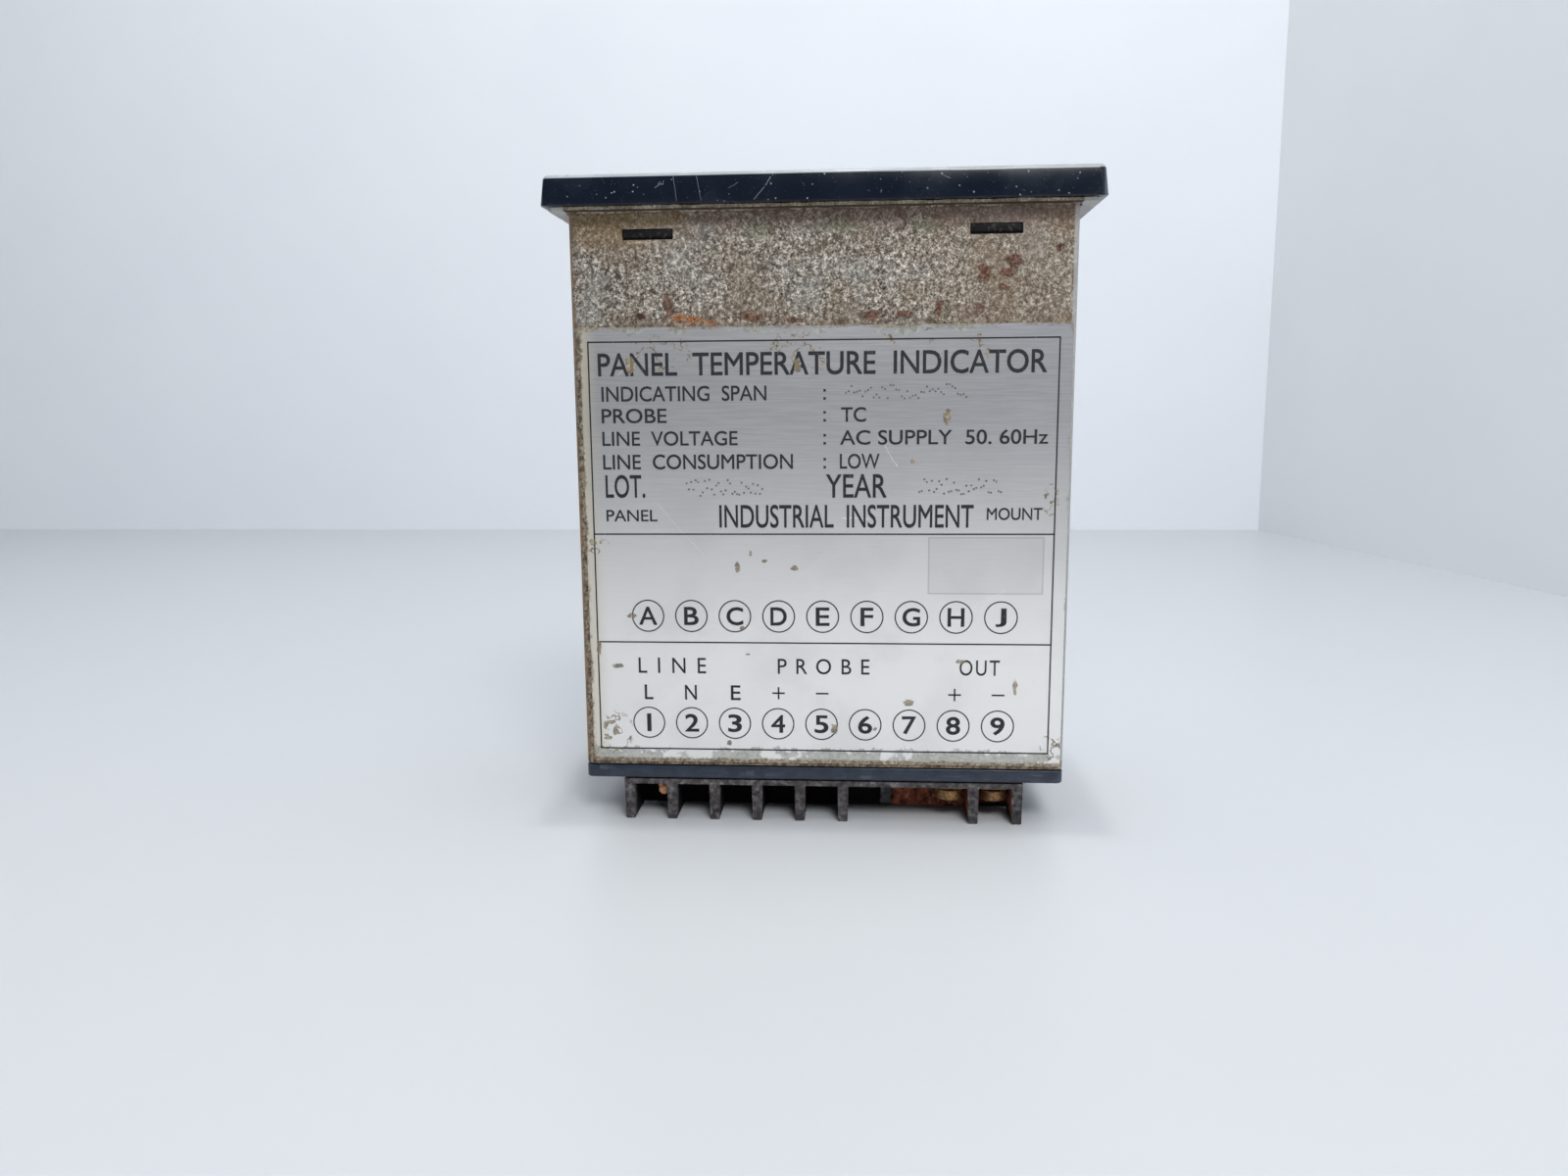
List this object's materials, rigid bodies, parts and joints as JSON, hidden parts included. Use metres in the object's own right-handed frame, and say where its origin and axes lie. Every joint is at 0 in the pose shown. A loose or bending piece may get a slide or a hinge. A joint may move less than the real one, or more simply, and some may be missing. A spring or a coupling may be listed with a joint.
{
  "type": "panel thermometer",
  "caption": "Panel-mount digital thermometer: black front bezel with a smoked window, steel sleeve case with a rating plate, and rear screw terminals between barriers.",
  "frame": {"origin": "middle of the footprint, on the plane that the tips of the terminal barriers stand on", "axes": "+Z from the rear terminals to the front bezel, +X along the long side of the front, the rating plate faces -Y"},
  "size_m": [0.096, 0.048, 0.116],
  "materials": {
    "black_gloss": "glossy black moulding with fine pale scratches and dust",
    "smoked_acrylic": "polished dark smoked pane",
    "matt_black": "matt black",
    "aged_foam": "aged brown-beige foam, rough at the edge",
    "zinc_steel": "zinc-plated steel, dulled and speckled, yellow-brown in places, with rust patches",
    "rating_aluminium": "brushed aluminium with black printing, worn and stained at the edges",
    "cover_plastic": "blue-black moulding, semi-gloss",
    "terminal_plastic": "brown-black moulding, aged and dusty, rust-stained at two terminals",
    "contact_brass": "dull brass",
    "screw_brass": "tarnished brass",
    "washer_brass": "tarnished brass, bright at the edges",
    "board_green": "green lacquered board",
    "led_grey": "grey face with milky segments",
    "core_steel": "varnished laminations",
    "winding_tape": "yellow insulating tape",
    "capacitor_sleeve": "dark blue sleeve",
    "chip_black": "matt black"
  },
  "bodies": {
    "root": {"front_bezel": "black_gloss", "front_window": "smoked_acrylic", "display_mask": "matt_black", "panel_gasket": "aged_foam", "case_sleeve": "zinc_steel", "rating_plate": "rating_aluminium", "rear_cover": "cover_plastic", "near_terminal_block": "terminal_plastic", "far_terminal_block": "terminal_plastic", "main_board": "board_green", "power_board": "board_green", "display_board": "board_green", "led_display": "led_grey", "transformer_core": "core_steel", "transformer_winding": "winding_tape", "smoothing_capacitor": "capacitor_sleeve", "converter_chip": "chip_black", "near_contact_1": "contact_brass", "near_contact_2": "contact_brass", "near_contact_3": "contact_brass", "near_contact_4": "contact_brass", "near_contact_5": "contact_brass", "near_contact_6": "contact_brass", "near_contact_7": "contact_brass", "near_contact_8": "contact_brass", "near_contact_9": "contact_brass", "far_contact_a": "contact_brass", "far_contact_b": "contact_brass", "far_contact_c": "contact_brass", "far_contact_d": "contact_brass", "far_contact_e": "contact_brass", "far_contact_f": "contact_brass", "far_contact_g": "contact_brass", "far_contact_h": "contact_brass", "far_contact_j": "contact_brass"},
    "near_washer_8_body": {"near_washer_8": "washer_brass"},
    "near_screw_8_body": {"near_screw_8": "screw_brass"},
    "near_washer_9_body": {"near_washer_9": "washer_brass"},
    "near_screw_9_body": {"near_screw_9": "screw_brass"},
    "far_washer_a_body": {"far_washer_a": "washer_brass"},
    "far_screw_a_body": {"far_screw_a": "screw_brass"},
    "far_washer_b_body": {"far_washer_b": "washer_brass"},
    "far_screw_b_body": {"far_screw_b": "screw_brass"},
    "far_washer_c_body": {"far_washer_c": "washer_brass"},
    "far_screw_c_body": {"far_screw_c": "screw_brass"},
    "far_washer_d_body": {"far_washer_d": "washer_brass"},
    "far_screw_d_body": {"far_screw_d": "screw_brass"},
    "far_washer_e_body": {"far_washer_e": "washer_brass"},
    "far_screw_e_body": {"far_screw_e": "screw_brass"},
    "far_washer_f_body": {"far_washer_f": "washer_brass"},
    "far_screw_f_body": {"far_screw_f": "screw_brass"},
    "far_washer_g_body": {"far_washer_g": "washer_brass"},
    "far_screw_g_body": {"far_screw_g": "screw_brass"},
    "far_washer_h_body": {"far_washer_h": "washer_brass"},
    "far_screw_h_body": {"far_screw_h": "screw_brass"},
    "far_washer_j_body": {"far_washer_j": "washer_brass"},
    "far_screw_j_body": {"far_screw_j": "screw_brass"}
  },
  "joints": [
    {"name": "near_screw_8_travel", "type": "slide", "parent": "root", "child": "near_washer_8_body", "axis": [0, 0, -1], "range_m": [0, 0.003]},
    {"name": "near_screw_8_turn", "type": "hinge", "parent": "near_washer_8_body", "child": "near_screw_8_body", "pos_m": [0.024, -0.0157, 0.0058], "axis": [0, 0, -1], "range_deg": [0, 2160]},
    {"name": "near_screw_9_travel", "type": "slide", "parent": "root", "child": "near_washer_9_body", "axis": [0, 0, -1], "range_m": [0, 0.003]},
    {"name": "near_screw_9_turn", "type": "hinge", "parent": "near_washer_9_body", "child": "near_screw_9_body", "pos_m": [0.032, -0.0157, 0.0058], "axis": [0, 0, -1], "range_deg": [0, 2160]},
    {"name": "far_screw_a_travel", "type": "slide", "parent": "root", "child": "far_washer_a_body", "axis": [0, 0, -1], "range_m": [0, 0.003]},
    {"name": "far_screw_a_turn", "type": "hinge", "parent": "far_washer_a_body", "child": "far_screw_a_body", "pos_m": [-0.032, 0.0157, 0.0058], "axis": [0, 0, -1], "range_deg": [0, 2160]},
    {"name": "far_screw_b_travel", "type": "slide", "parent": "root", "child": "far_washer_b_body", "axis": [0, 0, -1], "range_m": [0, 0.003]},
    {"name": "far_screw_b_turn", "type": "hinge", "parent": "far_washer_b_body", "child": "far_screw_b_body", "pos_m": [-0.024, 0.0157, 0.0058], "axis": [0, 0, -1], "range_deg": [0, 2160]},
    {"name": "far_screw_c_travel", "type": "slide", "parent": "root", "child": "far_washer_c_body", "axis": [0, 0, -1], "range_m": [0, 0.003]},
    {"name": "far_screw_c_turn", "type": "hinge", "parent": "far_washer_c_body", "child": "far_screw_c_body", "pos_m": [-0.016, 0.0157, 0.0058], "axis": [0, 0, -1], "range_deg": [0, 2160]},
    {"name": "far_screw_d_travel", "type": "slide", "parent": "root", "child": "far_washer_d_body", "axis": [0, 0, -1], "range_m": [0, 0.003]},
    {"name": "far_screw_d_turn", "type": "hinge", "parent": "far_washer_d_body", "child": "far_screw_d_body", "pos_m": [-0.008, 0.0157, 0.0058], "axis": [0, 0, -1], "range_deg": [0, 2160]},
    {"name": "far_screw_e_travel", "type": "slide", "parent": "root", "child": "far_washer_e_body", "axis": [0, 0, -1], "range_m": [0, 0.003]},
    {"name": "far_screw_e_turn", "type": "hinge", "parent": "far_washer_e_body", "child": "far_screw_e_body", "pos_m": [0, 0.0157, 0.0058], "axis": [0, 0, -1], "range_deg": [0, 2160]},
    {"name": "far_screw_f_travel", "type": "slide", "parent": "root", "child": "far_washer_f_body", "axis": [0, 0, -1], "range_m": [0, 0.003]},
    {"name": "far_screw_f_turn", "type": "hinge", "parent": "far_washer_f_body", "child": "far_screw_f_body", "pos_m": [0.008, 0.0157, 0.0058], "axis": [0, 0, -1], "range_deg": [0, 2160]},
    {"name": "far_screw_g_travel", "type": "slide", "parent": "root", "child": "far_washer_g_body", "axis": [0, 0, -1], "range_m": [0, 0.003]},
    {"name": "far_screw_g_turn", "type": "hinge", "parent": "far_washer_g_body", "child": "far_screw_g_body", "pos_m": [0.016, 0.0157, 0.0058], "axis": [0, 0, -1], "range_deg": [0, 2160]},
    {"name": "far_screw_h_travel", "type": "slide", "parent": "root", "child": "far_washer_h_body", "axis": [0, 0, -1], "range_m": [0, 0.003]},
    {"name": "far_screw_h_turn", "type": "hinge", "parent": "far_washer_h_body", "child": "far_screw_h_body", "pos_m": [0.024, 0.0157, 0.0058], "axis": [0, 0, -1], "range_deg": [0, 2160]},
    {"name": "far_screw_j_travel", "type": "slide", "parent": "root", "child": "far_washer_j_body", "axis": [0, 0, -1], "range_m": [0, 0.003]},
    {"name": "far_screw_j_turn", "type": "hinge", "parent": "far_washer_j_body", "child": "far_screw_j_body", "pos_m": [0.032, 0.0157, 0.0058], "axis": [0, 0, -1], "range_deg": [0, 2160]}
  ],
  "couplings": [
    {"joint": "near_screw_8_turn", "follows": "near_screw_8_travel", "rad_per_m": 12566},
    {"joint": "near_screw_9_turn", "follows": "near_screw_9_travel", "rad_per_m": 12566},
    {"joint": "far_screw_a_turn", "follows": "far_screw_a_travel", "rad_per_m": 12566},
    {"joint": "far_screw_b_turn", "follows": "far_screw_b_travel", "rad_per_m": 12566},
    {"joint": "far_screw_c_turn", "follows": "far_screw_c_travel", "rad_per_m": 12566},
    {"joint": "far_screw_d_turn", "follows": "far_screw_d_travel", "rad_per_m": 12566},
    {"joint": "far_screw_e_turn", "follows": "far_screw_e_travel", "rad_per_m": 12566},
    {"joint": "far_screw_f_turn", "follows": "far_screw_f_travel", "rad_per_m": 12566},
    {"joint": "far_screw_g_turn", "follows": "far_screw_g_travel", "rad_per_m": 12566},
    {"joint": "far_screw_h_turn", "follows": "far_screw_h_travel", "rad_per_m": 12566},
    {"joint": "far_screw_j_turn", "follows": "far_screw_j_travel", "rad_per_m": 12566}
  ]
}
